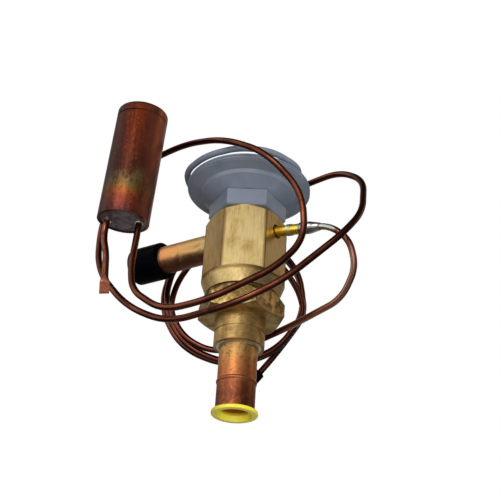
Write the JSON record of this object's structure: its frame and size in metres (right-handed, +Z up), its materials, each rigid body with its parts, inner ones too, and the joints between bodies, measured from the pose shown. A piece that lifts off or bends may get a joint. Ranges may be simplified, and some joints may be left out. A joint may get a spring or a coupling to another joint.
{
  "type": "thermostatic expansion valve",
  "caption": "Angle-pattern expansion valve with hexagonal brass body, diaphragm element, sensing bulb on a bent capillary, external equalizer line and copper solder stubs.",
  "frame": {"origin": "centre of the open end of the outlet tube, where the pipe joins", "axes": "+Z up the valve axis towards the power element, -Y out of the body's front flat, +X to the right seen from the front"},
  "size_m": [0.1153, 0.0825, 0.1322],
  "materials": {
    "brass_body": "brushed, straw yellow",
    "brass_fitting": "turned and milled, a little dulled",
    "element_paint": "satin slate grey",
    "gasket_gold": "satin",
    "copper_tube": "drawn copper, brown tarnish",
    "copper_inlet": "copper, golden near the braze with a brown patch below",
    "copper_outlet": "copper, speckled and darker towards its end",
    "copper_bulb": "red-brown copper with an olive heat band",
    "bulb_end": "dark oxidised copper",
    "solder": "bright solder",
    "tinned": "silvery braze",
    "nipple_gold": "bright gold brass",
    "stainless": "machined",
    "spring_steel": "drawn wire",
    "yellow_plug": "vivid lemon yellow",
    "black_cap": "glossy black"
  },
  "bodies": {
    "valve": {"valve_body": "brass_body", "outlet_fitting": "brass_fitting", "fitting_seal": "copper_tube", "outlet_tube": "copper_outlet", "outlet_braze_ring": "tinned", "orifice_seat": "stainless", "superheat_spring": "spring_steel", "spring_retainer": "brass_fitting", "element_gasket": "gasket_gold", "element_base": "element_paint", "lower_housing": "element_paint", "diaphragm": "stainless", "upper_housing": "element_paint", "capillary_collar": "element_paint", "capillary_lead": "element_paint", "capillary_tube": "copper_tube", "inlet_tube": "copper_inlet", "inlet_strainer": "stainless", "equalizer_nipple": "nipple_gold", "nipple_ring": "tinned", "equalizer_joint": "tinned", "equalizer_tube": "copper_tube", "bulb_shell": "copper_bulb", "bulb_end_disc": "bulb_end", "bulb_beads": "solder", "charging_stub": "copper_tube"},
    "pin_assembly": {"valve_pin": "stainless", "pin_carrier": "brass_fitting", "buffer_plate": "brass_fitting"},
    "outlet_plug_body": {"outlet_plug": "yellow_plug"},
    "inlet_cap_body": {"inlet_cap": "black_cap"},
    "equalizer_cap_body": {"equalizer_cap": "black_cap"}
  },
  "joints": [
    {"name": "pin_lift", "type": "slide", "parent": "valve", "child": "pin_assembly", "axis": [0, 0, -1], "range_m": [0, 0.001], "stiffness_N_per_m": 3000, "springref_m": -0.006, "deforming": ["superheat_spring"]},
    {"name": "outlet_plug_pull", "type": "slide", "parent": "valve", "child": "outlet_plug_body", "axis": [0, 0, -1], "range_m": [0, 0.04]},
    {"name": "inlet_cap_pull", "type": "slide", "parent": "valve", "child": "inlet_cap_body", "axis": [-0.866, 0.5, 0], "range_m": [0, 0.04]},
    {"name": "equalizer_cap_pull", "type": "slide", "parent": "valve", "child": "equalizer_cap_body", "axis": [-0.6042, 0, -0.7969], "range_m": [0, 0.02]}
  ]
}
